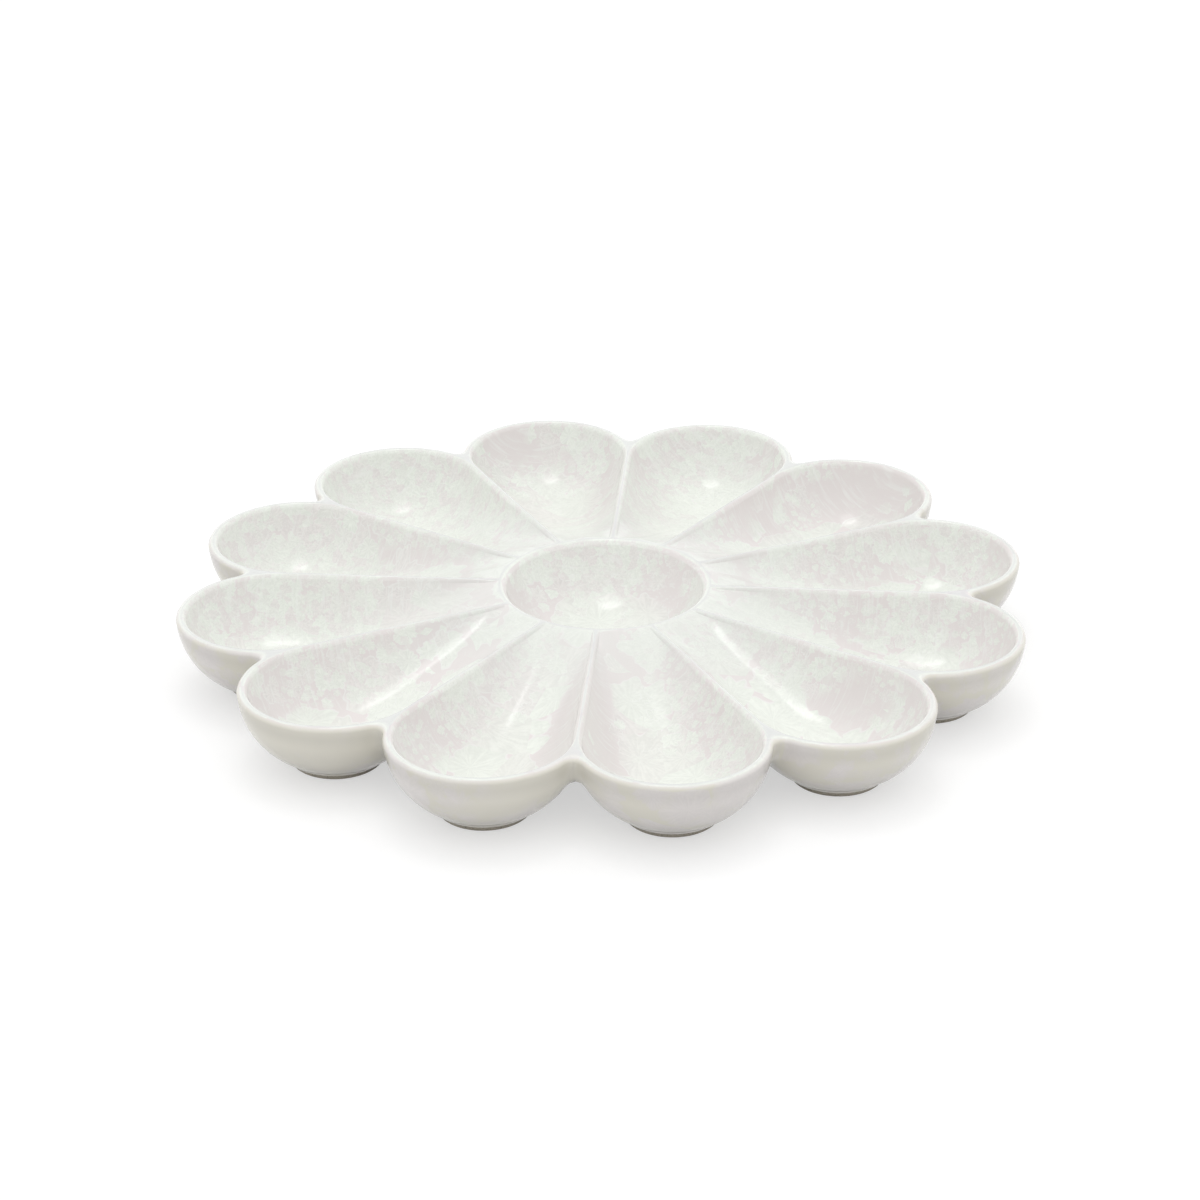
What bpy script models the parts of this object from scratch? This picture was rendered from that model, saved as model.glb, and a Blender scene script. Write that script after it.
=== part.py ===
# Oyster platter in glazed stoneware: twelve spoon-shaped wells around a dip bowl,
# joined along their ridge crests, each well standing on its own round foot.
# Metres, +Z up, origin on the table under the middle of the platter.
import math

import bmesh
import bpy
import numpy as np

# Number of wells
PETALS = 12

# Wells, seen from above
WELL_CENTRE_RADIUS = 0.1489  # platter axis to the middle of a well's round end
RIDGE_WIDTH = 0.0036  # crest between two neighbouring wells
RIM_WIDTH = 0.0044  # wall at the free outer lip
NOTCH_FILLET = 0.0071  # rounding between neighbouring petals on the outside

# Wells, seen from the side
WELL_DEPTH = 0.0285  # rim down to the lowest point of a well
FLOOR = 0.0042  # clay under that point
RAMP_START_DEPTH = 0.0004  # depth of a well's floor where it leaves the dip bowl's rim
RAMP_EASE = 0.042  # length over which the ramp levels out into the round end
WELL_CURVE = 0.65  # 0.5 gives an elliptical section, 1.0 a parabolic one
CREST_DROP = 0.0022  # height of the rounding on the ridges and the lip
UNDER_CURVE = 2.04  # exponent of the underside's round section
SEAT_FLAT = 0.0043  # height taken off the round underside to seat a foot

# Dip bowl
BOWL_MOUTH = 0.044  # radius inside the rim
BOWL_RIM = 0.006  # rim between the bowl and the tops of the ramps
BOWL_DEPTH = 0.0285
BOWL_FLOOR = 0.0042
BOWL_JOINT_DEPTH = 0.007  # height of the face that joins the bowl to the wells

# Feet
FOOT_RADIUS = 0.0174  # flat face on the table
FOOT_FLARE = 0.003  # how much wider a foot is at its seat, on a quarter ellipse
FOOT_HEIGHT = 0.0032

# Joint line left between pieces that touch
GAP = 0.0003

# Points closer than this are one point
MERGE = 1e-6

# Facets
RAMP_ROWS = 5
NOTCH_ROWS = 2
END_ROWS = 5
WELL_COLUMNS = 6
UNDER_COLUMNS = 4
CREST_COLUMNS = 2
BOWL_STEPS = 48
BOWL_ARC = 7
FOOT_STEPS = 20
FOOT_ARC = 3

# Search for a surface along a ray: its limit as a multiple of the expected reach
SEARCH = 2.0
HALVINGS = 40

# Values that follow from the sizes above
HALF_STEP = math.pi / PETALS
RIM_HEIGHT = FOOT_HEIGHT + FLOOR + WELL_DEPTH
SEAT_DEPTH = RIM_HEIGHT - FOOT_HEIGHT
RAMP_START = BOWL_MOUTH + BOWL_RIM
WELL_RADIUS = WELL_CENTRE_RADIUS * math.sin(HALF_STEP) - RIDGE_WIDTH / 2
PETAL_RADIUS = WELL_RADIUS + RIM_WIDTH
OVERLAP = RIM_WIDTH - RIDGE_WIDTH / 2  # how far neighbouring undersides run into each other

GLAZE_COLOUR = (0.80, 0.79, 0.74, 1.0)
CLAY_COLOUR = (0.42, 0.38, 0.31, 1.0)


def new_material(name, colour, roughness):
    material = bpy.data.materials.new(name)
    material.use_nodes = True
    shader = material.node_tree.nodes["Principled BSDF"]
    shader.inputs["Base Color"].default_value = colour
    shader.inputs["Roughness"].default_value = roughness
    shader.inputs["Metallic"].default_value = 0.0
    return material


def place_on_petal(x, y):
    # Distance out along a petal's axis, and distance across from that axis.
    # Across is measured square to the petal's straight side, then radially round its end.
    y = np.abs(y)
    run = x + y * math.tan(HALF_STEP)
    beside = y / math.cos(HALF_STEP)
    round_end = np.hypot(x - WELL_CENTRE_RADIUS, y)
    return run, np.where(run < WELL_CENTRE_RADIUS, beside, round_end)


def in_neighbour(x, y):
    # The same place seen from the next petal's axis
    turn = 2 * HALF_STEP
    return (
        x * math.cos(turn) + y * math.sin(turn),
        x * math.sin(turn) - y * math.cos(turn),
    )


def side_reach(run):
    # Half the pitch between two ridge lines, square to the petal's side
    return np.minimum(run, WELL_CENTRE_RADIUS) * math.sin(HALF_STEP)


def floor_depth(run):
    # A straight ramp that eases into the level floor of the round end
    level_run = WELL_CENTRE_RADIUS - RAMP_EASE / 2 - RAMP_START
    slope = (WELL_DEPTH - RAMP_START_DEPTH) / level_run
    back = np.maximum(WELL_CENTRE_RADIUS - run, 0)
    eased = np.where(back < RAMP_EASE, back**2 / (2 * RAMP_EASE), back - RAMP_EASE / 2)
    return np.maximum(WELL_DEPTH - slope * eased, RAMP_START_DEPTH)


def crest_drop(depth):
    # The rounding of a crest shrinks where the well beside it is shallow
    return CREST_DROP * depth / (depth + CREST_DROP)


def rounded_fall(distance, width, drop):
    # Quarter round: drop at distance 0, nothing from distance width on
    left = np.clip(1 - distance / width, 0, 1)
    return drop * (1 - np.sqrt(1 - left**2))


def rounded_union(a, b, radius):
    corner = np.hypot(np.maximum(radius - a, 0), np.maximum(radius - b, 0))
    return np.maximum(radius, np.minimum(a, b)) - corner


def outline_distance(x, y):
    # Plan distance to the platter's outer edge, negative inside
    def one_petal(px, py):
        run, across = place_on_petal(px, py)
        return across - side_reach(run) - OVERLAP

    return rounded_union(one_petal(x, y), one_petal(*in_neighbour(x, y)), NOTCH_FILLET)


def under_distance(x, y, depth):
    # Nearly the distance to the underside of two joined petals, negative inside
    def one_petal(px, py):
        run, across = place_on_petal(px, py)
        reach = side_reach(run) + OVERLAP
        sag = floor_depth(run) + FLOOR + SEAT_FLAT
        power = (across / reach) ** UNDER_CURVE + (np.maximum(depth, 0) / sag) ** UNDER_CURVE
        return (power ** (1 / UNDER_CURVE) - 1) * np.minimum(reach, sag)

    joined = rounded_union(one_petal(x, y), one_petal(*in_neighbour(x, y)), NOTCH_FILLET)
    return np.maximum(joined, depth - SEAT_DEPTH)


def top_depth(x, y):
    # Depth of the upper surface below the rim's plane
    run, across = place_on_petal(x, y)
    edge = side_reach(run) - RIDGE_WIDTH / 2
    floor = floor_depth(run)
    drop = crest_drop(floor)
    hollow = np.maximum(1 - (across / edge) ** 2, 0)
    well = drop + (floor - drop) * hollow**WELL_CURVE
    crest = rounded_fall(across - edge, RIDGE_WIDTH / 2, drop)
    lip = rounded_fall(-outline_distance(x, y), OVERLAP, CREST_DROP)
    return np.where(across < edge, well, np.maximum(crest, lip))


def furthest(inside, limit):
    # Largest value up to limit for which inside holds, by halving
    low, high = 0.0, limit
    for _ in range(HALVINGS):
        middle = (low + high) / 2
        if inside(middle):
            low = middle
        else:
            high = middle
    return low


def quarter_turns(count):
    # Even angles up to a quarter turn, without the start
    return [math.pi / 2 * (k + 1) / count for k in range(count)]


def section_rows():
    # Base point and direction of each upright section through half a petal, from the
    # dip bowl out along the ramp, then fanning round the end to the petal's own axis.
    rows = []
    square = math.pi / 2 + HALF_STEP
    for base in np.linspace(RAMP_START, WELL_CENTRE_RADIUS, RAMP_ROWS + 1):
        blend = (base - RAMP_START) / (WELL_CENTRE_RADIUS - RAMP_START)
        rows.append((base, square - (1 - blend) * HALF_STEP / 2, True))
    tip = notch_angle()
    for angle in np.linspace(square, tip, NOTCH_ROWS + 1)[1:]:
        rows.append((WELL_CENTRE_RADIUS, angle, True))
    for angle in np.linspace(tip, 0, END_ROWS + 1)[1:]:
        rows.append((WELL_CENTRE_RADIUS, angle, False))
    return rows


def notch_angle():
    # Direction from the round end's middle to the notch, half a gap short of the joint
    side = GAP / 2
    along = furthest(
        lambda t: outline_distance(*on_joint(t, side)) < 0,
        WELL_CENTRE_RADIUS + PETAL_RADIUS,
    )
    x, y = on_joint(along, side)
    return math.atan2(y, x - WELL_CENTRE_RADIUS)


def on_joint(along, side):
    # A point along the joint between two petals, moved aside into this petal
    return (
        along * math.cos(HALF_STEP) + side * math.sin(HALF_STEP),
        along * math.sin(HALF_STEP) - side * math.cos(HALF_STEP),
    )


def section_points(base, angle, joined):
    # One upright section: up the well, over the crest, then down the joint or round
    # the lip, and back along the underside to the petal's axis.
    def plan(reach):
        return base + reach * math.cos(angle), reach * math.sin(angle)

    def to_joint(margin):
        return (base * math.sin(HALF_STEP) - margin) / math.sin(angle - HALF_STEP)

    def with_depth(reaches):
        return [(r, float(top_depth(*plan(r)))) for r in reaches]

    on_ramp = base < WELL_CENTRE_RADIUS
    edge = to_joint(RIDGE_WIDTH / 2) if on_ramp else WELL_RADIUS
    if joined:
        reach = to_joint(GAP / 2)
        crest = reach
    else:
        limit = SEARCH * PETAL_RADIUS
        if angle > HALF_STEP:
            limit = min(limit, to_joint(GAP / 2))
        reach = furthest(lambda r: outline_distance(*plan(r)) < 0, limit)
        crest = edge + RIDGE_WIDTH / 2
    points = with_depth(edge * math.sin(turn) for turn in [0.0] + quarter_turns(WELL_COLUMNS))
    crest_turns = quarter_turns(CREST_COLUMNS)
    points += with_depth(edge + (crest - edge) * (1 - math.cos(turn)) for turn in crest_turns)
    if joined:
        top = points[-1][1]
        valley = furthest(lambda d: under_distance(*plan(reach), d) < 0, SEAT_DEPTH)
        drop = max(valley - top, 0)
        points += [(reach, top + drop * (k + 1) / CREST_COLUMNS) for k in range(CREST_COLUMNS)]
    else:
        points += with_depth(crest + (reach - crest) * math.sin(turn) for turn in crest_turns)
    points += underside_points(base, plan, points[-1])
    return [(*plan(r), RIM_HEIGHT - depth) for r, depth in points]


def underside_points(base, plan, start):
    # Rays fanned from the rim's height at the base point down to the underside, none of
    # them running further out than the section's own joint or lip
    sag = float(floor_depth(base)) + FLOOR + SEAT_FLAT
    reach = float(side_reach(base)) + OVERLAP
    first = math.atan2(start[0] / reach, start[1] / sag)
    seat = math.acos(SEAT_DEPTH / (SEAT_DEPTH + SEAT_FLAT))
    turns = [first + (seat - first) * k / UNDER_COLUMNS for k in range(1, UNDER_COLUMNS + 1)]
    points = []
    for turn in turns + [0.0]:
        across, down = reach * math.sin(turn), sag * math.cos(turn)
        limit = min(SEARCH, start[0] / max(across, MERGE))
        length = furthest(lambda t: under_distance(*plan(t * across), t * down) < 0, limit)
        points.append((length * across, length * down))
    return points


def half_petal_mesh():
    # A loft through the sections, open on the petal's own plane of symmetry
    sections = [section_points(*row) for row in section_rows()]
    builder = bmesh.new()
    grid = [[builder.verts.new(point) for point in section] for section in sections]
    for near, far in zip(grid, grid[1:]):
        for k in range(len(near) - 1):
            builder.faces.new((near[k], far[k], far[k + 1], near[k + 1]))
    builder.faces.new(grid[0])
    for vertex in builder.verts:
        if abs(vertex.co.y) < MERGE:
            vertex.co.y = 0.0
    bmesh.ops.remove_doubles(builder, verts=builder.verts, dist=MERGE)
    mesh = bpy.data.meshes.new("petal_well")
    builder.to_mesh(mesh)
    builder.free()
    return mesh


def profile_mesh(name, points):
    # An open profile in the XZ plane, to be turned about Z
    mesh = bpy.data.meshes.new(name)
    edges = [(k, k + 1) for k in range(len(points) - 1)]
    mesh.from_pydata([(r, 0.0, z) for r, z in points], edges, [])
    return mesh


def turn_profile(part, steps):
    screw = part.modifiers.new("turn", "SCREW")
    screw.axis = "Z"
    screw.steps = steps
    screw.render_steps = steps
    screw.use_merge_vertices = True
    screw.merge_threshold = MERGE
    screw.use_smooth_shade = True


def bowl_profile():
    # Inside from the floor up to the rim, the joining face, then the outside wall down
    drop = CREST_DROP
    crest = BOWL_MOUTH + BOWL_RIM / 2
    outer = RAMP_START * math.cos(HALF_STEP / 2) - GAP
    points = []
    for turn in [0.0] + quarter_turns(BOWL_ARC):
        depth = drop + (BOWL_DEPTH - drop) * math.cos(turn) ** (2 * WELL_CURVE)
        points.append((BOWL_MOUTH * math.sin(turn), RIM_HEIGHT - depth))
    for turn in quarter_turns(CREST_COLUMNS):
        r = BOWL_MOUTH + (crest - BOWL_MOUTH) * (1 - math.cos(turn))
        fall = float(rounded_fall(r - BOWL_MOUTH, crest - BOWL_MOUTH, drop))
        points.append((r, RIM_HEIGHT - fall))
    points.append((outer, RIM_HEIGHT - RAMP_START_DEPTH))
    bottom = BOWL_DEPTH + BOWL_FLOOR
    start = math.acos(BOWL_JOINT_DEPTH / bottom)
    for k in range(BOWL_ARC + 1):
        turn = start * (1 - k / BOWL_ARC)
        r = outer * math.sin(turn) / math.sin(start)
        points.append((r, RIM_HEIGHT - bottom * math.cos(turn)))
    return points


def foot_profile():
    # A low dish that carries on the wall's curve, from its seat down to the flat on the table
    top = FOOT_HEIGHT - GAP
    turns = [0.0] + quarter_turns(FOOT_ARC)
    side = [(FOOT_RADIUS + FOOT_FLARE * math.sin(t), top * (1 - math.cos(t))) for t in reversed(turns)]
    return [(0.0, top)] + side + [(0.0, 0.0)]


def add_part(name, mesh, material, collection):
    part = bpy.data.objects.new(name, mesh)
    if not mesh.materials:
        mesh.materials.append(material)
    collection.objects.link(part)
    return part


def main():
    for old in list(bpy.data.objects):
        bpy.data.objects.remove(old, do_unlink=True)
    platter = bpy.data.collections.new("oyster_platter")
    bpy.context.scene.collection.children.link(platter)
    glaze = new_material("crystalline_glaze", GLAZE_COLOUR, 0.22)
    centre_glaze = new_material("bowl_glaze", GLAZE_COLOUR, 0.22)
    clay = new_material("bare_stoneware", CLAY_COLOUR, 0.85)

    bowl = add_part("centre_bowl", profile_mesh("centre_bowl", bowl_profile()), centre_glaze, platter)
    turn_profile(bowl, BOWL_STEPS)

    petal_mesh = half_petal_mesh()
    petal_mesh.shade_smooth()
    foot_mesh = profile_mesh("petal_foot", foot_profile())
    for k in range(PETALS):
        turn = 2 * HALF_STEP * k
        petal = add_part(f"petal_well_{k + 1:02d}", petal_mesh, glaze, platter)
        petal.rotation_euler.z = turn
        mirror = petal.modifiers.new("other_half", "MIRROR")
        mirror.use_axis = (False, True, False)
        mirror.use_clip = True
        mirror.merge_threshold = MERGE

        foot = add_part(f"petal_foot_{k + 1:02d}", foot_mesh, clay, platter)
        foot.location.x = WELL_CENTRE_RADIUS * math.cos(turn)
        foot.location.y = WELL_CENTRE_RADIUS * math.sin(turn)
        foot.rotation_euler.z = turn
        turn_profile(foot, FOOT_STEPS)


main()
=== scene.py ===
import math

import bmesh
import bpy
import numpy as np
from mathutils import Matrix, Vector, noise


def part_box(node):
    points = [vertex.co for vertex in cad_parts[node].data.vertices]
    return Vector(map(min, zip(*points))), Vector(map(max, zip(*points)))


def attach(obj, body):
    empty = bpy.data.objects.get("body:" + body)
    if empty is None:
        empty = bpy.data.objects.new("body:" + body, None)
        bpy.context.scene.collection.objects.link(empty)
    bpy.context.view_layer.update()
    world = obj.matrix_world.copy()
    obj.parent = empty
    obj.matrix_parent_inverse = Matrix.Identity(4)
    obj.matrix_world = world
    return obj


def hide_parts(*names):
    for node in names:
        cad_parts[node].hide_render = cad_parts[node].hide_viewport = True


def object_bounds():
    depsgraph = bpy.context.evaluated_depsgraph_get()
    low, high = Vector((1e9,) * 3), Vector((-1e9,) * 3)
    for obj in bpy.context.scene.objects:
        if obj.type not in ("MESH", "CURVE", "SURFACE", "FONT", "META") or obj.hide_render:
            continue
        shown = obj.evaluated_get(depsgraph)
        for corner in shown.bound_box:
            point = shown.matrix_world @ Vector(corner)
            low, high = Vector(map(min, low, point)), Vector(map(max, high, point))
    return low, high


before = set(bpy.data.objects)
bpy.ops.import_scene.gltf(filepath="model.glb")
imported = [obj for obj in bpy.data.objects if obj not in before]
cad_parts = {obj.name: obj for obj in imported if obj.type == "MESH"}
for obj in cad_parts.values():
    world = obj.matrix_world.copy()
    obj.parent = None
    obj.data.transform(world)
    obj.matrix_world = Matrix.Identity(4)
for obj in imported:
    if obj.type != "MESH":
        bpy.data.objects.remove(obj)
cadLow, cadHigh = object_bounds()
wellNames = sorted(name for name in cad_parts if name.startswith("petal_well"))
footNames = sorted(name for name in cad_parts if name.startswith("petal_foot"))
print("frame loaded,", len(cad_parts), "nodes")

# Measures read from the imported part. Petal 01 lies along +X.
footLow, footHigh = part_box("petal_foot_01")
petalCount = len(wellNames)
halfStep = math.pi / petalCount
rimHeight = cadHigh.z
wellCentre = (footLow.x + footHigh.x) / 2
footRadius = (footHigh.x - footLow.x) / 2

platter = {
    "ridgeWidth": 0.0036,      # crest between two wells
    "rimWidth": 0.0044,        # wall at the free lip
    "notchFillet": 0.0071,     # rounding between petals, outside
    "wellDepth": 0.0285,
    "floorThickness": 0.0042,  # clay under the deepest point
    "rampRoll": 0.0035,        # rounding where a ramp leaves the bowl's rim
    "rampEase": 0.042,         # levelling out into the round end
    "wellCurve": 0.52,         # section of a well's round end: fuller when smaller, 1.0 parabolic
    "rampCurve": 0.42,         # added to it where the ramps start, so that the ridges rise softly
    "wallLean": 0.97,          # 1.0 upright at the top of a wall
    "crestDrop": 0.0022,       # height of the rounding on ridges and lip
    "underCurve": 2.04,        # exponent of the round underside
    "seatFlat": 0.0043,        # taken off the underside over a foot
    "bowlMouth": 0.044,
    "bowlRim": 0.006,
    "bowlDepth": 0.0285,
    "bowlReach": 0.0506,       # half width of the bowl's outside
    "bowlBottom": 0.0327,      # depth of the bowl's outside
    "bowlFillet": 0.009,       # bowl into the petals, underneath
    "seatHeight": 0.0032,
    "seatLip": 0.00015,        # glaze standing proud of the bare foot
    "footFillet": 0.003,       # glaze sweeping out over the foot
    "patchStart": 0.119,       # underside turns from rings to rays about the foot here
    "lipReach": 0.01,          # how far in the glaze knows the lip
    "wobble": 0.00022,         # hand-made unevenness, always inwards
    "wobbleLength": 0.055,
    "inwardsShift": (7.0, 3.0, 1.0),
    "downShift": (2.0, 9.0, 4.0),
    "downScale": 1.3,          # finer than the unevenness inwards
}
mesh = {
    "wellColumns": 20, "edgeColumns": 8,
    "bowlRows": 18, "rimRows": 5, "rampRows": 30, "notchRows": 10, "endRows": 28, "endSpacing": 1.5,
    "underColumns": 10, "underRings": 26, "valleyRays": 12,
    "seatColumns": 2, "flareColumns": 6, "wallColumns": 11,
    "halvings": 36,
}
overlap = platter["rimWidth"] - platter["ridgeWidth"] / 2
wellRadius = wellCentre * math.sin(halfStep) - platter["ridgeWidth"] / 2
bowlCrest = platter["bowlMouth"] + platter["bowlRim"] / 2
rampStart = platter["bowlMouth"] + platter["bowlRim"]
seatDepth = rimHeight - platter["seatHeight"]


def placeOnPetal(x, y):
    # distance out along the axis, and across from it
    y = np.abs(y)
    run = x + y * math.tan(halfStep)
    roundEnd = np.hypot(x - wellCentre, y)
    return run, np.where(run < wellCentre, y / math.cos(halfStep), roundEnd)


def nextPetal(x, y):
    turn = 2 * halfStep
    return x * math.cos(turn) + y * math.sin(turn), x * math.sin(turn) - y * math.cos(turn)


def sideReach(run):
    return np.minimum(run, wellCentre) * math.sin(halfStep)


def floorDepth(run):
    roll, ease, depth = platter["rampRoll"], platter["rampEase"], platter["wellDepth"]
    slope = depth / (wellCentre - ease / 2 - bowlCrest - roll / 2)
    back = np.maximum(wellCentre - run, 0)
    ramp = depth - slope * np.where(back < ease, back**2 / (2 * ease), back - ease / 2)
    start = np.clip(run - bowlCrest, 0, roll)
    return np.where(run < bowlCrest + roll, slope * start**2 / (2 * roll), ramp)


def quarterRound(distance, width, drop):
    left = np.clip(1 - distance / width, 0, 1)
    return drop * (1 - np.sqrt(1 - left**2))


def softRound(distance, width, drop):
    return drop * np.clip(1 - distance / width, 0, 1) ** 2


def hollow(across, curve):
    # section of a well or the bowl: 1 in the middle, 0 at the edge
    lean = platter["wallLean"] ** 2
    least = (1 - lean) ** curve
    return ((1 - lean * np.minimum(across, 1) ** 2) ** curve - least) / (1 - least)


def roundedUnion(a, b, radius):
    corner = np.hypot(np.maximum(radius - a, 0), np.maximum(radius - b, 0))
    return np.maximum(radius, np.minimum(a, b)) - corner


def outlineDistance(x, y):
    def onePetal(px, py):
        run, across = placeOnPetal(px, py)
        return across - sideReach(run) - overlap

    return roundedUnion(onePetal(x, y), onePetal(*nextPetal(x, y)), platter["notchFillet"])


def topDepth(x, y):
    # depth of the wells, ridges and lip below the rim's plane
    run, across = placeOnPetal(x, y)
    edge = sideReach(run) - platter["ridgeWidth"] / 2
    floor = floorDepth(run)
    drop = platter["crestDrop"] * floor / (floor + platter["crestDrop"])
    start = np.clip((wellCentre - run) / (wellCentre - rampStart), 0, 1)
    curve = platter["wellCurve"] + platter["rampCurve"] * start**2
    well = drop + (floor - drop) * hollow(across / edge, curve)
    crest = softRound(across - edge, platter["ridgeWidth"] / 2, drop)
    lip = quarterRound(-outlineDistance(x, y), overlap, platter["crestDrop"])
    return np.where(across < edge, well, np.maximum(crest, lip))


def bowlDepth(radius):
    mouth, drop = platter["bowlMouth"], platter["crestDrop"]
    inside = drop + (platter["bowlDepth"] - drop) * hollow(radius / mouth, platter["wellCurve"])
    return np.where(radius < mouth, inside, softRound(radius - mouth, bowlCrest - mouth, drop))


def underDistance(x, y, depth):
    # about the distance to the underside: two petals, the bowl and the foot joined
    power = platter["underCurve"]

    def onePetal(px, py):
        run, across = placeOnPetal(px, py)
        reach = sideReach(run) + overlap
        sag = floorDepth(run) + platter["floorThickness"] + platter["seatFlat"]
        size = ((across / reach) ** power + (np.maximum(depth, 0) / sag) ** power) ** (1 / power)
        return (size - 1) * np.minimum(reach, sag)

    reach, bottom = platter["bowlReach"], platter["bowlBottom"]
    bowl = (np.hypot(np.hypot(x, y) / reach, depth / bottom) - 1) * bottom
    foot = np.hypot(x - wellCentre, y) - footRadius - platter["seatLip"]
    joined = roundedUnion(onePetal(x, y), onePetal(*nextPetal(x, y)), platter["notchFillet"])
    joined = roundedUnion(joined, bowl, platter["bowlFillet"])
    joined = roundedUnion(joined, foot, platter["footFillet"])
    return np.maximum(joined, depth - seatDepth)


def furthest(inside, limit):
    # largest values up to the limits for which inside holds, by halving
    low, high = np.zeros_like(limit), limit.copy()
    for _ in range(mesh["halvings"]):
        middle = (low + high) / 2
        keep = inside(middle)
        low, high = np.where(keep, middle, low), np.where(keep, high, middle)
    return low


def evenly(start, end, count):
    return np.linspace(start, end, count + 1)


def onJoint(along):
    return along * math.cos(halfStep), along * math.sin(halfStep)


def outerReach(angle):
    # from the round end's middle out to the lip, not past the joint with the next petal
    limit = np.full_like(angle, 2 * (wellRadius + platter["rimWidth"]))
    steep = angle > halfStep + 0.01
    joint = wellCentre * math.sin(halfStep) / np.sin(np.where(steep, angle - halfStep, 1.0))
    limit = np.where(steep, np.minimum(limit, joint), limit)
    spot = lambda r: (wellCentre + r * np.cos(angle), r * np.sin(angle))
    return furthest(lambda r: outlineDistance(*spot(r)) < 0, limit)


def endTurns():
    # directions about the round end's middle, closer together at the notch, and how far each goes
    notch = furthest(lambda t: outlineDistance(*onJoint(t)) < 0, np.array([cadHigh.x]))[0]
    square = wellCentre * math.cos(halfStep)
    share = np.sin(math.pi / 2 * evenly(0, 1, mesh["notchRows"])[1:])
    x, y = onJoint(square + (notch - square) * share)
    jointTurns = np.arctan2(y, x - wellCentre)
    lipTurns = jointTurns[-1] * (1 - evenly(0, 1, mesh["endRows"])[1:] ** mesh["endSpacing"])
    reach = np.concatenate([np.hypot(x - wellCentre, y), outerReach(lipTurns)])
    return zip(np.concatenate([jointTurns, lipTurns]), reach)


def topRows():
    # plan points of half a petal's upper side, each row from the axis to the joint or lip
    square = math.pi / 2 + halfStep
    well = np.sin(math.pi / 2 * evenly(0, 1, mesh["wellColumns"]))
    edge = (1 - np.cos(math.pi * evenly(0, 1, mesh["edgeColumns"])[1:])) / 2
    rows = []
    for base in evenly(rampStart, wellCentre, mesh["rampRows"]):
        blend = (base - rampStart) / (wellCentre - rampStart)
        angle = square - (1 - blend) * halfStep / 2
        joint = base * math.sin(halfStep) / math.sin(angle - halfStep)
        lip = joint - platter["ridgeWidth"] / 2 / math.sin(angle - halfStep)
        reach = np.concatenate([lip * well, lip + (joint - lip) * edge])
        bulge = (1 - blend) ** 2 * base * (1 - math.cos(halfStep / 2))
        bulge = bulge * 4 * (reach / joint) * (1 - reach / joint)
        x = base + reach * math.cos(angle) + bulge * math.sin(angle)
        y = reach * math.sin(angle) - bulge * math.cos(angle)
        rows.append((x, y))
    for angle, end in endTurns():
        reach = np.concatenate([wellRadius * well, wellRadius + (end - wellRadius) * edge])
        rows.append((wellCentre + reach * math.cos(angle), reach * math.sin(angle)))
    return rows


def topGrid():
    outer = topRows()
    angle = np.arctan2(outer[0][1], outer[0][0])
    bowlTurns = math.pi / 2 * evenly(0, 1, mesh["bowlRows"])
    rimTurns = math.pi / 2 * evenly(0, 1, mesh["rimRows"])[1:]
    radii = list(platter["bowlMouth"] * np.sin(bowlTurns))
    radii += list(platter["bowlMouth"] + platter["bowlRim"] / 2 * (1 - np.cos(rimTurns)))
    grid = []
    for radius in radii:
        level = np.full_like(angle, rimHeight - bowlDepth(radius))
        grid.append(np.stack([radius * np.cos(angle), radius * np.sin(angle), level], 1))
    for radius in evenly(bowlCrest, rampStart, 2)[1:2]:
        x, y = radius * np.cos(angle), radius * np.sin(angle)
        grid.append(np.stack([x, y, rimHeight - topDepth(x, y)], 1))
    for x, y in outer:
        grid.append(np.stack([x, y, rimHeight - topDepth(x, y)], 1))
    return np.array(grid)


def castDown(x, y):
    limit = np.full_like(x, rimHeight)
    return furthest(lambda depth: underDistance(x, y, depth) < 0, limit)


def underRings():
    # underside about the platter's axis, from the middle out to where the foot's rays start
    angle = evenly(0, halfStep, mesh["underColumns"])
    grid = []
    for radius in platter["patchStart"] * evenly(0, 1, mesh["underRings"]):
        x, y = radius * np.cos(angle), radius * np.sin(angle)
        grid.append(np.stack([x, y, rimHeight - castDown(x, y)], 1))
    return np.array(grid)


def valleyPoints(start, end):
    # the joint's lower edge, from the last ring to the notch
    along, notch = math.hypot(start[0], start[1]), math.hypot(end[0], end[1])
    lipTurn = math.atan2(rimHeight - end[2], notch - along)
    turns = evenly(math.pi / 2, lipTurn, mesh["valleyRays"])[1:-1]
    out, down = np.cos(turns), np.sin(turns)
    limit = np.minimum((notch - along) / out, rimHeight / down)
    reach = furthest(
        lambda r: underDistance(*onJoint(along + r * out), r * down) < 0,
        limit,
    )
    x, y = onJoint(along + reach * out)
    return np.stack([x, y, rimHeight - reach * down], 1)


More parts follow.
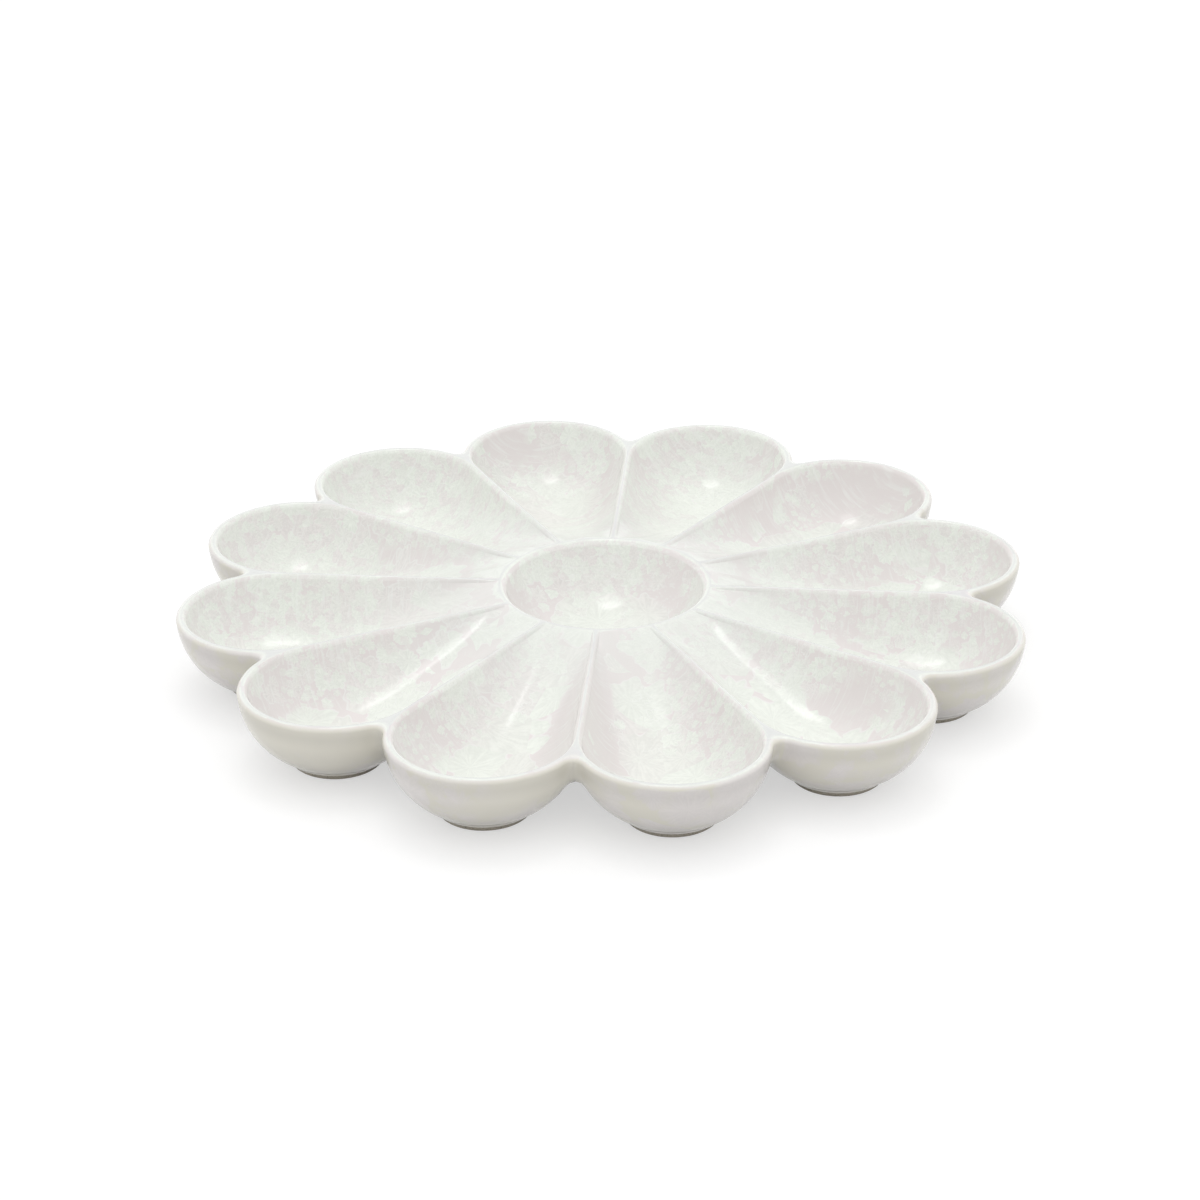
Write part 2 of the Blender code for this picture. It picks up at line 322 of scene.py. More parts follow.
def underPatch(rings, lipPoints):
    # underside about the foot: rays from the foot's middle to every point of the border
    valley = valleyPoints(rings[-1][-1], lipPoints[0])
    border = np.concatenate([rings[-1], valley, lipPoints])
    seatRadius = footRadius + platter["seatLip"]
    seatTurn = math.atan2(seatRadius, seatDepth)
    flareEnd = math.atan2(seatRadius + platter["footFillet"], seatDepth - platter["footFillet"] / 2)
    grid = []
    for point in border:
        flat = Vector((point[0] - wellCentre, point[1]))
        away = flat.normalized()
        last = math.atan2(flat.length, rimHeight - point[2])
        turns = np.concatenate([
            evenly(seatTurn, flareEnd, mesh["flareColumns"])[1:],
            evenly(flareEnd, last, mesh["wallColumns"])[1:-1],
        ])
        out, down = np.sin(turns), np.cos(turns)
        limit = flat.length / out
        reach = furthest(
            lambda r: underDistance(wellCentre + r * out * away.x, r * out * away.y, r * down) < 0,
            limit,
        )
        radius = np.concatenate([seatRadius * evenly(0, 1, mesh["seatColumns"]), reach * out])
        depth = np.concatenate([np.full(mesh["seatColumns"] + 1, seatDepth), reach * down])
        line = np.stack([wellCentre + radius * away.x, radius * away.y, rimHeight - depth], 1)
        grid.append(np.concatenate([line, point[None]]))
    return np.array(grid)


def gridFaces(grid, first, flip):
    rows, columns = grid.shape[:2]
    index = first + np.arange(rows * columns).reshape(rows, columns)
    quads = np.stack([index[:-1, :-1], index[1:, :-1], index[1:, 1:], index[:-1, 1:]], -1)
    quads = quads.reshape(-1, 4)
    return quads[:, ::-1] if flip else quads


def buildPlatterMesh():
    top = topGrid()
    rings = underRings()
    lipPoints = top[-1 - mesh["endRows"]:, -1]
    patch = underPatch(rings, lipPoints)
    points, faces, first = [], [], 0
    for grid, flip in ((top, False), (rings, True), (patch, False)):
        points.append(grid.reshape(-1, 3))
        faces.append(gridFaces(grid, first, flip))
        first += len(points[-1])
    points, faces = np.concatenate(points), np.concatenate(faces)
    fromLip = np.clip(-outlineDistance(points[:, 0], points[:, 1]), 0, platter["lipReach"])
    fromLip[top.size // 3:] = 0
    points[np.abs(points[:, 1]) < 1e-7, 1] = 0
    allPoints, allFaces = [], []
    for k in range(petalCount):
        turn = np.array(Matrix.Rotation(2 * halfStep * k, 3, "Z"))
        for side in (1, -1):
            allFaces.append(faces[:, ::side] + len(allPoints) * len(points))
            allPoints.append((points * (1, side, 1)) @ turn.T)
    data = bpy.data.meshes.new("glazed_platter")
    data.from_pydata(np.concatenate(allPoints).tolist(), [], np.concatenate(allFaces).tolist())
    # distance in from the outline on the upper side, 0 underneath
    lip = data.attributes.new("from_lip", "FLOAT", "POINT")
    lip.data.foreach_set("value", np.tile(fromLip, len(allPoints)).astype(np.float32))
    shape = bmesh.new()
    shape.from_mesh(data)
    bmesh.ops.remove_doubles(shape, verts=shape.verts, dist=2e-6)
    bmesh.ops.dissolve_degenerate(shape, edges=shape.edges, dist=1e-7)
    bmesh.ops.recalc_face_normals(shape, faces=shape.faces)
    for vertex in shape.verts:
        vertex.co += handWobble(vertex.co)
    loose = sum(not edge.is_manifold for edge in shape.edges)
    shape.to_mesh(data)
    shape.free()
    data.shade_smooth()
    print("platter mesh:", len(data.polygons), "faces,", loose, "open edges")
    return data


def handWobble(place):
    # a hand-finished body is never quite true: a little inwards and down, nothing at the seat
    spot = place / platter["wobbleLength"]
    half = platter["wobble"] / 2  # noise runs from -1 to 1
    inwards = half + half * noise.noise(spot + Vector(platter["inwardsShift"]))
    down = half + half * noise.noise(spot * platter["downScale"] + Vector(platter["downShift"]))
    share = min(max((place.z - platter["seatHeight"]) / rimHeight, 0), 1)
    flat = Vector((place.x, place.y, 0))
    return share * (-flat.normalized() * inwards - Vector((0, 0, down)))


def addPiece(name, data, material, slot, *nodes):
    piece = bpy.data.objects.new(name, data)
    bpy.context.scene.collection.objects.link(piece)
    data.materials.append(material)
    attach(piece, "root")
    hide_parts(*nodes)
    return piece


def feed(tree, socket, value):
    if isinstance(value, bpy.types.NodeSocket):
        tree.links.new(value, socket)
    else:
        socket.default_value = value


def calc(tree, operation, *values):
    node = tree.nodes.new("ShaderNodeMath")
    node.operation = operation
    for socket, value in zip(node.inputs, values):
        feed(tree, socket, value)
    return node.outputs[0]


def vectorCalc(tree, operation, *values):
    node = tree.nodes.new("ShaderNodeVectorMath")
    node.operation = operation
    for socket, value in zip(node.inputs, values):
        feed(tree, socket, value)
    return node.outputs["Value" if operation in ("LENGTH", "DOT_PRODUCT") else "Vector"]


def scaled(tree, vector, factor):
    node = tree.nodes.new("ShaderNodeVectorMath")
    node.operation = "SCALE"
    feed(tree, node.inputs[0], vector)
    feed(tree, node.inputs["Scale"], factor)
    return node.outputs["Vector"]


def fade(tree, value, start, end):
    # 0 at start, 1 at end, smooth between
    node = tree.nodes.new("ShaderNodeMapRange")
    node.interpolation_type = "SMOOTHSTEP"
    feed(tree, node.inputs["Value"], value)
    feed(tree, node.inputs["From Min"], start)
    feed(tree, node.inputs["From Max"], end)
    return node.outputs["Result"]


def clouds(tree, vector, size, detail=2.0, drift=None):
    # soft noise, mostly 0.3 to 0.7; drift is a fourth direction
    node = tree.nodes.new("ShaderNodeTexNoise")
    feed(tree, node.inputs["Vector"], vector)
    node.inputs["Scale"].default_value = 1 / size
    node.inputs["Detail"].default_value = detail
    if drift is not None:
        node.noise_dimensions = "4D"
        feed(tree, node.inputs["W"], drift)
    return node.outputs["Fac"]


def mixColour(tree, share, first, second):
    node = tree.nodes.new("ShaderNodeMix")
    node.data_type = "RGBA"
    factor, a, b = node.inputs[0], node.inputs[6], node.inputs[7]  # the sockets for colours
    feed(tree, factor, share)
    feed(tree, a, first)
    feed(tree, b, second)
    return node.outputs[2]


def newGroup(name, inputs, outputs):
    group = bpy.data.node_groups.new(name, "ShaderNodeTree")
    for label, value in inputs.items():
        socket = group.interface.new_socket(name=label, in_out="INPUT", socket_type="NodeSocketFloat")
        socket.default_value = value
    for label in outputs:
        group.interface.new_socket(name=label, in_out="OUTPUT", socket_type="NodeSocketFloat")
    given = group.nodes.new("NodeGroupInput").outputs
    result = group.nodes.new("NodeGroupOutput").inputs
    return group, given, result


def placeGroup(tree, group, **values):
    node = tree.nodes.new("ShaderNodeGroup")
    node.node_tree = group
    for name, value in values.items():
        feed(tree, node.inputs[name], value)
    return node.outputs


crystal = {
    "seedShift": (1.3, 2.1, 0.7),   # how far Seed moves the pattern
    "ownNeedles": 40.0,             # makes each crystal's needles its own
    "lobes": 1.9, "scallop": 0.7, "lobeDetail": 1.0,  # outline of a crystal
    "smallest": 0.42, "spread": 0.3,  # radius, as a share of Size
    "softEdge": 0.03, "rim": 0.032, "halo": 0.25,
    "needleDrift": 2.5, "needleDetail": 3.0, "needleFrom": 0.36, "needleTo": 0.66,
}


def crystalGroup():
    # round and fan-shaped crystals: each grew from a seed, with needles running out from it
    group, given, result = newGroup(
        "crystal_burst",
        {"Size": 0.02, "Cover": 1.0, "Needles": 8.0, "Seed": 0.0},
        ("Crystal", "Halo", "Needle", "Edge", "Tint"),
    )
    spot = group.nodes.new("ShaderNodeTexCoord").outputs
    place = vectorCalc(group, "ADD", spot["Object"], scaled(group, crystal["seedShift"], given["Seed"]))
    cells = group.nodes.new("ShaderNodeTexVoronoi")
    feed(group, cells.inputs["Vector"], place)
    feed(group, cells.inputs["Scale"], calc(group, "DIVIDE", 1.0, given["Size"]))
    toSeed = vectorCalc(group, "SUBTRACT", place, cells.outputs["Position"])
    lift = vectorCalc(group, "DOT_PRODUCT", toSeed, spot["Normal"])
    flat = vectorCalc(group, "SUBTRACT", toSeed, scaled(group, spot["Normal"], lift))
    reach = calc(group, "DIVIDE", vectorCalc(group, "LENGTH", flat), given["Size"])
    away = vectorCalc(group, "NORMALIZE", flat)
    own = scaled(group, cells.outputs["Color"], crystal["ownNeedles"])
    lobeSpot = vectorCalc(group, "ADD", scaled(group, away, crystal["lobes"]), own)
    lobes = clouds(group, lobeSpot, 1.0, crystal["lobeDetail"])
    needleSpot = vectorCalc(group, "ADD", scaled(group, away, given["Needles"]), own)
    drift = calc(group, "MULTIPLY", reach, crystal["needleDrift"])
    needle = clouds(group, needleSpot, 1.0, crystal["needleDetail"], drift)
    separate = group.nodes.new("ShaderNodeSeparateColor")
    feed(group, separate.inputs["Color"], cells.outputs["Color"])
    radius = calc(group, "MULTIPLY_ADD", separate.outputs["Red"], crystal["spread"], crystal["smallest"])
    wavy = calc(group, "MULTIPLY_ADD", lobes, 2 * crystal["scallop"], 1 - crystal["scallop"])
    limit = calc(group, "MULTIPLY", calc(group, "MULTIPLY", radius, wavy), given["Cover"])
    inner = calc(group, "SUBTRACT", limit, crystal["softEdge"])
    outside = calc(group, "ABSOLUTE", calc(group, "SUBTRACT", reach, limit))
    feed(group, result["Crystal"], fade(group, reach, limit, inner))
    feed(group, result["Halo"], fade(group, reach, limit, calc(group, "SUBTRACT", limit, crystal["halo"])))
    feed(group, result["Needle"], fade(group, needle, crystal["needleFrom"], crystal["needleTo"]))
    feed(group, result["Edge"], fade(group, outside, crystal["rim"], 0.0))
    feed(group, result["Tint"], separate.outputs["Green"])
    return group


specks = {"cellScale": 0.5, "thinning": 6.0, "grainDetail": 4.0}  # thinning: size of the areas with fewer


def speckGroup():
    # fine grain of fired clay, and the dark specks in it
    group, given, result = newGroup("clay_speck", {"Size": 0.001, "Specks": 0.3}, ("Grain", "Speck"))
    spot = group.nodes.new("ShaderNodeTexCoord").outputs["Object"]
    spot = scaled(group, spot, calc(group, "DIVIDE", 1.0, given["Size"]))
    cells = group.nodes.new("ShaderNodeTexVoronoi")
    feed(group, cells.inputs["Vector"], spot)
    cells.inputs["Scale"].default_value = specks["cellScale"]
    reach = calc(group, "MULTIPLY", given["Specks"], clouds(group, spot, specks["thinning"]))
    feed(group, result["Grain"], clouds(group, spot, 1.0, specks["grainDetail"]))
    feed(group, result["Speck"], fade(group, cells.outputs["Distance"], reach, 0.0))
    return group


crystalBurst = crystalGroup()
claySpeck = speckGroup()

glaze = {
    "mint": (0.826, 0.854, 0.797, 1), "paleMint": (0.900, 0.912, 0.884, 1),
    "rose": (0.832, 0.806, 0.785, 1), "ground": (0.822, 0.778, 0.765, 1),
    "crest": (0.675, 0.675, 0.684, 1), "crestShare": 0.7, "crestDepth": 0.0004, "lipTo": 0.0018,
    "feather": (0.700, 0.718, 0.682, 1), "featherShare": 0.45, "featherFrom": -0.25, "featherTo": 0.70,
    "featherTurn": 30.0, "featherLength": 0.012, "featherDetail": 3.0,
    "featherNear": 0.055, "featherFar": 0.105, "rampBare": 0.6,  # ramps by the bowl count as less level
    "outside": (0.888, 0.860, 0.764, 1), "outsideCrystal": (0.900, 0.862, 0.840, 1),
    "outsideTone": 0.5, "outsideEdge": 0.6, "outsideHalo": 0.3,
    # painted shade just under the lip outside, and painted bounce light lower down the outside wall
    "underLipShade": 0.90, "lowBounceLight": 1.04, "lipDrop": 0.004, "lowDrop": 0.012,
    # painted shade where the outside turns under towards the table
    "shade": (0.42, 0.39, 0.31, 1), "shadeShare": 0.7, "shadeFrom": -0.55, "shadeTo": -0.94,
    "levelFrom": 0.74, "levelTo": 0.97,  # upward part of the normal, walls to floors
    "steepWallShade": 0.04,  # painted shade: darker on steep walls
    "cloudSize": 0.05, "cloudCover": 2.0, "coverLean": (-1.1, 1.3, 0.0),  # fewer towards one side
    "leastCover": 0.55, "growFrom": 0.35, "growTo": 0.6,  # crystals grow to a size or not at all
    "roseShare": 0.40, "roseOnFloor": 0.06, "roseBlend": 0.25,
    "patchSize": 0.045, "patchShift": (0.3, 0.5, 0.2), "patchFrom": 0.45, "patchTo": 0.51,
    "frostSize": 0.06, "frostFrom": 0.42, "frostTo": 0.52, "frostShare": 0.8,
    "grainSize": 0.0014, "grainDetail": 4.0, "grainTone": 0.12, "ownTone": 0.05,
    "streakWidth": 0.0011, "streakTurn": 14.0, "streakDrop": 60.0, "streakDetail": 2.0,
    "streakShare": 0.5, "streakFrom": 0.5, "streakTo": 0.72,
    "speckSize": 0.0016, "specks": 0.25, "speckShare": 0.15,
    "roughness": 0.13, "groundRoughness": 0.11, "needleRoughness": 0.02,
    "bump": 0.008, "bumpDepth": 0.0004, "streakRelief": 0.5,
}
# three generations of crystals: the large ones first, smaller ones over them
crystalLayers = (
    {"size": 0.026, "needles": 8.0, "seed": 1.0, "tone": 0.07, "edge": 0.7, "floor": 1.45, "wall": 0.56,
     "outside": 1.0},
    {"size": 0.010, "needles": 5.0, "seed": 5.0, "tone": 0.10, "edge": 0.8, "floor": 0.60, "wall": 0.70,
     "outside": 0.6},
    {"size": 0.0045, "needles": 3.0, "seed": 9.0, "tone": 0.10, "edge": 0.6, "floor": 0.30, "wall": 0.75,
     "outside": 0.0},
)


def newMaterial(name):
    material = bpy.data.materials.new(name)
    material.use_nodes = True
    return material, material.node_tree, material.node_tree.nodes["Principled BSDF"].inputs


def glazeMaterial():
    material, tree, shader = newMaterial("crystal_glaze")
    spot = tree.nodes.new("ShaderNodeTexCoord").outputs
    place = spot["Object"]
    facing = tree.nodes.new("ShaderNodeSeparateXYZ")
    feed(tree, facing.inputs[0], spot["Normal"])
    position = tree.nodes.new("ShaderNodeSeparateXYZ")
    feed(tree, position.inputs[0], place)
    faceUp, height = facing.outputs["Z"], position.outputs["Z"]
    side = tree.nodes.new("ShaderNodeAttribute")
    side.attribute_name = "from_lip"
    upper = fade(tree, side.outputs["Fac"], 0.0, glaze["lipTo"])

    # distance from the middle, and 1 on the ramps close to the bowl
    outwards = vectorCalc(tree, "MULTIPLY", place, (1.0, 1.0, 0.0))
    around = vectorCalc(tree, "NORMALIZE", outwards)
    distance = vectorCalc(tree, "LENGTH", outwards)
    near = fade(tree, distance, glaze["featherFar"], glaze["featherNear"])
    near = calc(tree, "MULTIPLY", near, fade(tree, distance, platter["bowlMouth"], rampStart))

    # more crystals on the floors, where the melt lay level; bare ground in patches
    level = fade(tree, faceUp, glaze["levelFrom"], glaze["levelTo"])
    steep = calc(tree, "SUBTRACT", 1.0, level)
    level = calc(tree, "MULTIPLY", level, calc(tree, "MULTIPLY_ADD", near, -glaze["rampBare"], 1.0))
    bare = calc(tree, "SUBTRACT", clouds(tree, place, glaze["cloudSize"]), 0.5)
    more = calc(tree, "MULTIPLY", vectorCalc(tree, "DOT_PRODUCT", place, glaze["coverLean"]), upper)
    more = calc(tree, "MULTIPLY_ADD", bare, glaze["cloudCover"], more)
    rosy = calc(tree, "MULTIPLY_ADD", level, glaze["roseOnFloor"] - glaze["roseShare"], glaze["roseShare"])
    moved = vectorCalc(tree, "ADD", place, glaze["patchShift"])
    patches = fade(tree, clouds(tree, moved, glaze["patchSize"]), glaze["patchFrom"], glaze["patchTo"])
    frost = fade(tree, clouds(tree, place, glaze["frostSize"]), glaze["frostFrom"], glaze["frostTo"])
    frost = calc(tree, "MULTIPLY", frost, glaze["frostShare"])
    grain = calc(tree, "SUBTRACT", clouds(tree, place, glaze["grainSize"], glaze["grainDetail"]), 0.5)
    grain = calc(tree, "MULTIPLY", grain, glaze["grainTone"])

    def polarSpot(turn, length):
        # a place by its direction and distance from the middle
        join = tree.nodes.new("ShaderNodeCombineXYZ")
        feed(tree, join.inputs["Z"], calc(tree, "DIVIDE", distance, length))
        return vectorCalc(tree, "ADD", scaled(tree, around, turn), join.outputs[0])

    # runs below the ridges
    runSpot = polarSpot(glaze["streakTurn"], glaze["streakWidth"])
    drop = calc(tree, "MULTIPLY", height, glaze["streakDrop"])
    runs = clouds(tree, runSpot, 1.0, glaze["streakDetail"], drop)
    runs = fade(tree, runs, glaze["streakFrom"], glaze["streakTo"])
    runs = calc(tree, "MULTIPLY", runs, steep)

    # feathers running outwards where the ramps leave the bowl
    featherSpot = polarSpot(glaze["featherTurn"], glaze["featherLength"])
    feather = clouds(tree, featherSpot, 1.0, glaze["featherDetail"])
    feather = fade(tree, feather, glaze["featherFrom"], glaze["featherTo"])
    feather = calc(tree, "MULTIPLY", feather, calc(tree, "MULTIPLY", near, glaze["featherShare"]))

    # each crystal is mint or rose, with its own needles and a pale edge
    colour, outside = glaze["ground"], glaze["outside"]
    share = needle = relief = 0.0
    for layer, mask in zip(crystalLayers, (1.0, patches, frost)):
        cover = calc(tree, "MULTIPLY_ADD", level, layer["floor"] - layer["wall"], layer["wall"])
        cover = calc(tree, "ADD", cover, more)
        mask = calc(tree, "MULTIPLY", fade(tree, cover, glaze["growFrom"], glaze["growTo"]), mask)
        cover = calc(tree, "MAXIMUM", cover, glaze["leastCover"])
        burst = placeGroup(tree, crystalBurst, Size=layer["size"], Cover=cover, Needles=layer["needles"],
                           Seed=layer["seed"])
        where = calc(tree, "MULTIPLY", burst["Crystal"], mask)
        line = calc(tree, "MULTIPLY", calc(tree, "MULTIPLY", burst["Edge"], mask), layer["edge"])
        tone = calc(tree, "MULTIPLY_ADD", burst["Needle"], layer["tone"], 1 - layer["tone"] / 2)
        tone = calc(tree, "ADD", tone, calc(tree, "MULTIPLY_ADD", burst["Tint"], glaze["ownTone"], grain))
        minty = calc(tree, "SUBTRACT", burst["Tint"], rosy)
        minty = fade(tree, minty, -glaze["roseBlend"], glaze["roseBlend"])
        own = mixColour(tree, minty, glaze["rose"], glaze["mint"])
        colour = mixColour(tree, where, colour, scaled(tree, own, tone))
        colour = mixColour(tree, line, colour, glaze["paleMint"])
        tone = calc(tree, "MULTIPLY_ADD", tone, glaze["outsideTone"], 1 - glaze["outsideTone"])
        seen = calc(tree, "SUBTRACT", burst["Halo"], burst["Crystal"])
        seen = calc(tree, "MULTIPLY_ADD", seen, glaze["outsideHalo"], burst["Crystal"])
        seen = calc(tree, "MULTIPLY", calc(tree, "MULTIPLY", seen, mask), layer["outside"])
        outside = mixColour(tree, seen, outside, scaled(tree, glaze["outsideCrystal"][:3], tone))
        seen = calc(tree, "MULTIPLY", line, glaze["outsideEdge"])
        outside = mixColour(tree, seen, outside, glaze["outsideCrystal"])
        share = calc(tree, "MAXIMUM", share, where)
        needle = calc(tree, "MAXIMUM", needle, calc(tree, "MULTIPLY", burst["Needle"], where))
        relief = calc(tree, "MAXIMUM", relief, calc(tree, "ADD", needle, line))
    colour = mixColour(tree, calc(tree, "MULTIPLY", runs, glaze["streakShare"]), colour, glaze["paleMint"])
    colour = mixColour(tree, feather, colour, glaze["feather"])
    # painted shade: steep inner walls darker than the floors
    colour = scaled(tree, colour, calc(tree, "MULTIPLY_ADD", steep, -glaze["steepWallShade"], 1.0))

    # the melt ran down and left the ridges and the lip grey
    crest = fade(tree, height, rimHeight - glaze["crestDepth"], rimHeight)
    colour = mixColour(tree, calc(tree, "MULTIPLY", crest, glaze["crestShare"]), colour, glaze["crest"])

    # clay specks showing through on the outside; painted shade under the lip and painted bounce light lower
    # down; painted shade where the wall turns under
    speck = placeGroup(tree, claySpeck, Size=glaze["speckSize"], Specks=glaze["specks"])
    dots = calc(tree, "MULTIPLY", speck["Speck"], glaze["speckShare"])
    outside = mixColour(tree, dots, outside, glaze["ground"])
    # painted shade just under the lip, painted bounce light lower on the wall
    lipShadeAndBounce = fade(tree, height, rimHeight - glaze["lipDrop"], rimHeight - glaze["lowDrop"])
    lipShadeAndBounce = calc(tree, "MULTIPLY_ADD", lipShadeAndBounce, glaze["lowBounceLight"] - glaze["underLipShade"], glaze["underLipShade"])
    outside = scaled(tree, outside, lipShadeAndBounce)
    # painted shade on the downward-facing outside
    shade = fade(tree, faceUp, glaze["shadeFrom"], glaze["shadeTo"])
    outside = mixColour(tree, calc(tree, "MULTIPLY", shade, glaze["shadeShare"]), outside, glaze["shade"])
    feed(tree, shader["Base Color"], mixColour(tree, upper, outside, colour))

    roughness = calc(tree, "MULTIPLY_ADD", share, glaze["roughness"] - glaze["groundRoughness"],
                     glaze["groundRoughness"])
    feed(tree, shader["Roughness"], calc(tree, "MULTIPLY_ADD", needle, glaze["needleRoughness"], roughness))
    relief = calc(tree, "MULTIPLY_ADD", runs, glaze["streakRelief"], relief)
    bump = tree.nodes.new("ShaderNodeBump")
    bump.inputs["Strength"].default_value = glaze["bump"]
    bump.inputs["Distance"].default_value = glaze["bumpDepth"]
    feed(tree, bump.inputs["Height"], relief)
    feed(tree, shader["Normal"], bump.outputs[0])
    return material


addPiece("glazed_platter", buildPlatterMesh(), glazeMaterial(), "glaze", "centre_bowl", *wellNames)

foot = {"flare": 0.003, "steps": 72, "arc": 8}


def footMesh():
    # a low dish that carries on the wall's curve down to the flat on the table
    top = platter["seatHeight"]
    profile = [(0.0, top)]
    for turn in evenly(math.pi / 2, 0, foot["arc"]):
        profile.append((footRadius - foot["flare"] * (1 - math.sin(turn)), top * (1 - math.cos(turn))))
    profile.append((0.0, 0.0))
    data = bpy.data.meshes.new("petal_foot")
    shape = bmesh.new()
    ring = [shape.verts.new((r, 0, z)) for r, z in profile]
    edges = [shape.edges.new(pair) for pair in zip(ring, ring[1:])]
    bmesh.ops.spin(shape, geom=ring + edges, axis=(0, 0, 1), cent=(0, 0, 0),
                   steps=foot["steps"], angle=2 * math.pi)
    bmesh.ops.remove_doubles(shape, verts=shape.verts, dist=1e-6)
    bmesh.ops.recalc_face_normals(shape, faces=shape.faces)
    shape.to_mesh(data)
    shape.free()
    data.shade_smooth()
    return data


clay = {
    "body": (0.42, 0.38, 0.31, 1), "pale": (0.50, 0.46, 0.39, 1), "speck": (0.22, 0.18, 0.13, 1),
    "grainSize": 0.0007, "specks": 0.7, "paleFrom": 0.35, "paleTo": 0.65,
    "roughness": 0.75, "grainRoughness": 0.15, "bump": 0.35, "bumpDepth": 0.0003,
}


def clayMaterial():
    material, tree, shader = newMaterial("bare_clay")
    speck = placeGroup(tree, claySpeck, Size=clay["grainSize"], Specks=clay["specks"])
    pale = fade(tree, speck["Grain"], clay["paleFrom"], clay["paleTo"])
    colour = mixColour(tree, pale, clay["body"], clay["pale"])
    feed(tree, shader["Base Color"], mixColour(tree, speck["Speck"], colour, clay["speck"]))
    roughness = calc(tree, "MULTIPLY_ADD", speck["Grain"], clay["grainRoughness"], clay["roughness"])
    feed(tree, shader["Roughness"], roughness)
    bump = tree.nodes.new("ShaderNodeBump")
    bump.inputs["Strength"].default_value = clay["bump"]
    bump.inputs["Distance"].default_value = clay["bumpDepth"]
    feed(tree, bump.inputs["Height"], speck["Grain"])
    feed(tree, shader["Normal"], bump.outputs[0])
    return material


bareClay = clayMaterial()
for k, name in enumerate(footNames):
    data = footMesh()
    turn = Matrix.Rotation(2 * halfStep * k, 4, "Z")
    data.transform(turn @ Matrix.Translation((wellCentre, 0, 0)))
    addPiece(f"clay_foot_{k + 1:02d}", data, bareClay, "foot_clay", name)
print("feet:", len(footNames))

studio = {
    "azimuth": -10.5, "elevation": 25.597, "distance": 1.4763, "lens": 99.58, "roll": 0.248,
    "rimCentrePixel": (604.70, 582.07), "imageSize": 1200,
    "lampDistance": 3.2,
    "fillAround": 0.59, "fillAbove": 1.05, "abovePower": 3.0, "fillLow": 1.45, "lowPower": 4.0,
    "fillAway": 0.15, "fillSides": -0.28,  # more from the back, less from left and right
    "floorSize": 8.0, "floorColour": (0.46, 0.46, 0.46, 1), "floorGlow": 0.56,
}
# directions are right, away from the camera, up
softBoxes = (
    {"name": "soft_box_edge", "direction": (-0.055, 0.23, 0.972),
     "width": 0.87, "length": 0.45, "power": 2.8},
    {"name": "soft_box", "direction": (-0.055, 0.140, 0.989),
     "width": 0.87, "length": 1.05, "power": 4.8},
)


def addCamera():
    turn, lift = math.radians(studio["azimuth"]), math.radians(studio["elevation"])
    aim = Vector((0, 0, rimHeight))
    back = Vector((math.sin(turn) * math.cos(lift), -math.cos(turn) * math.cos(lift), math.sin(lift)))
    data = bpy.data.cameras.new("camera")
    data.sensor_width = 36
    data.lens = studio["lens"]
    half = studio["imageSize"] / 2
    data.shift_x = (half - studio["rimCentrePixel"][0]) / studio["imageSize"]
    data.shift_y = (studio["rimCentrePixel"][1] - half) / studio["imageSize"]
    camera = bpy.data.objects.new("camera", data)
    bpy.context.scene.collection.objects.link(camera)
    look = (-back).to_track_quat("-Z", "Y").to_matrix().to_4x4()
    roll = Matrix.Rotation(-math.radians(studio["roll"]), 4, "Z")
    camera.matrix_world = Matrix.Translation(aim + back * studio["distance"]) @ look @ roll
    bpy.context.scene.camera = camera


def addLamp(box):
    turn = math.radians(studio["azimuth"])
    direction = Matrix.Rotation(turn, 3, "Z") @ Vector(box["direction"])
    data = bpy.data.lights.new(box["name"], "AREA")
    data.shape = "RECTANGLE"
    data.size = box["width"]
    data.size_y = box["length"]
    data.energy = box["power"]
    lamp = bpy.data.objects.new(box["name"], data)
    lamp.location = Vector((0, 0, rimHeight)) + direction * studio["lampDistance"]
    lamp.rotation_mode = "QUATERNION"
    lamp.rotation_quaternion = (-direction).to_track_quat("-Z", "Y")
    bpy.context.scene.collection.objects.link(lamp)


def seenDirectly(tree):
    # 1 for rays that look at the backdrop, straight or by reflection or through glass
    path = tree.nodes.new("ShaderNodeLightPath").outputs
    reflected = calc(tree, "MAXIMUM", path["Is Glossy Ray"], path["Is Transmission Ray"])
    return calc(tree, "MAXIMUM", path["Is Camera Ray"], reflected)


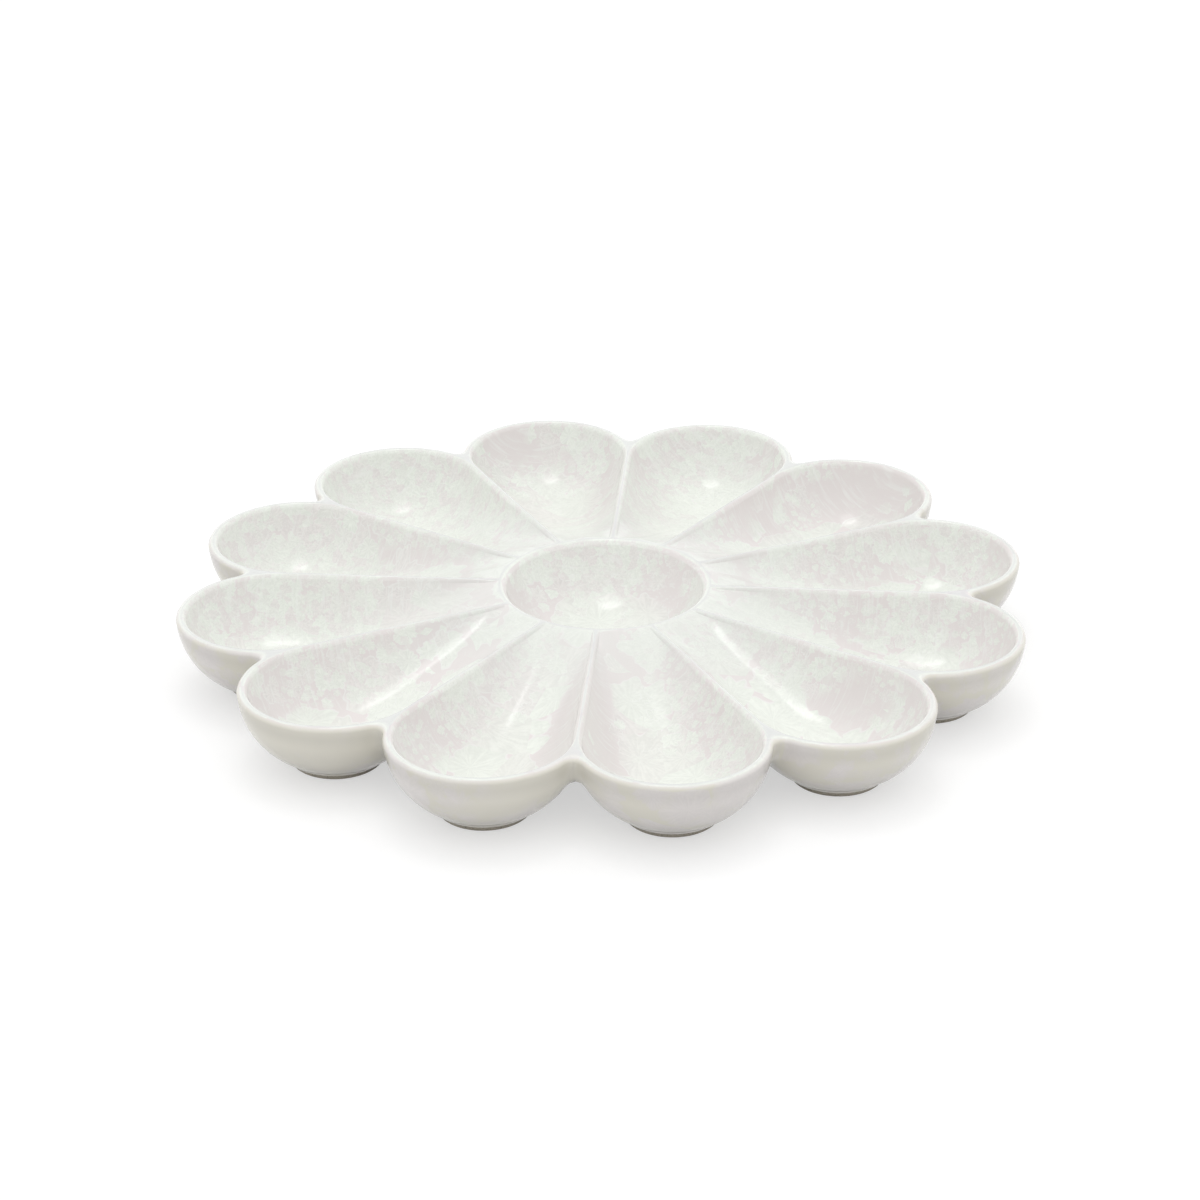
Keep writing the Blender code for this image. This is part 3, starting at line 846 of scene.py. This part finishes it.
def addWorld():
    world = bpy.data.worlds.new("studio")
    world.use_nodes = True
    bpy.context.scene.world = world
    tree = world.node_tree
    tree.nodes.clear()
    fill = tree.nodes.new("ShaderNodeBackground")
    # even all round, with more from overhead, from low down and from the back
    turn = Matrix.Rotation(math.radians(studio["azimuth"]), 3, "Z")
    direction = tree.nodes.new("ShaderNodeTexCoord").outputs["Generated"]
    across = vectorCalc(tree, "DOT_PRODUCT", direction, turn @ Vector((1, 0, 0)))
    away = vectorCalc(tree, "DOT_PRODUCT", direction, turn @ Vector((0, 1, 0)))
    height = calc(tree, "MAXIMUM", vectorCalc(tree, "DOT_PRODUCT", direction, (0, 0, 1)), 0.0)
    above = calc(tree, "POWER", height, studio["abovePower"])
    low = calc(tree, "POWER", calc(tree, "SUBTRACT", 1.0, height), studio["lowPower"])
    strength = calc(tree, "MULTIPLY_ADD", above, studio["fillAbove"], studio["fillAround"])
    strength = calc(tree, "MULTIPLY_ADD", low, studio["fillLow"], strength)
    strength = calc(tree, "MULTIPLY_ADD", away, studio["fillAway"], strength)
    sides = calc(tree, "MULTIPLY", across, across)
    strength = calc(tree, "MULTIPLY_ADD", sides, studio["fillSides"], strength)
    feed(tree, fill.inputs["Strength"], strength)
    white = tree.nodes.new("ShaderNodeBackground")
    fill.inputs["Color"].default_value = white.inputs["Color"].default_value = (1, 1, 1, 1)
    mix = tree.nodes.new("ShaderNodeMixShader")
    out = tree.nodes.new("ShaderNodeOutputWorld")
    tree.links.new(seenDirectly(tree), mix.inputs[0])
    tree.links.new(fill.outputs[0], mix.inputs[1])
    tree.links.new(white.outputs[0], mix.inputs[2])
    tree.links.new(mix.outputs[0], out.inputs[0])


def addFloor():
    half = studio["floorSize"] / 2
    data = bpy.data.meshes.new("floor")
    corners = [(-half, -half, 0), (half, -half, 0), (half, half, 0), (-half, half, 0)]
    data.from_pydata(corners, [], [(0, 1, 2, 3)])
    floor = bpy.data.objects.new("floor", data)
    bpy.context.scene.collection.objects.link(floor)
    material, tree, shader = newMaterial("floor")
    shader["Base Color"].default_value = studio["floorColour"]
    shader["Roughness"].default_value = 1.0
    shader["Specular IOR Level"].default_value = 0.0
    shader["Emission Color"].default_value = (1, 1, 1, 1)
    feed(tree, shader["Emission Strength"], calc(tree, "MULTIPLY", seenDirectly(tree), studio["floorGlow"]))
    data.materials.append(material)


addCamera()
for box in softBoxes:
    addLamp(box)
addWorld()
addFloor()
bpy.context.scene.view_settings.view_transform = "Standard"
print("studio ready")
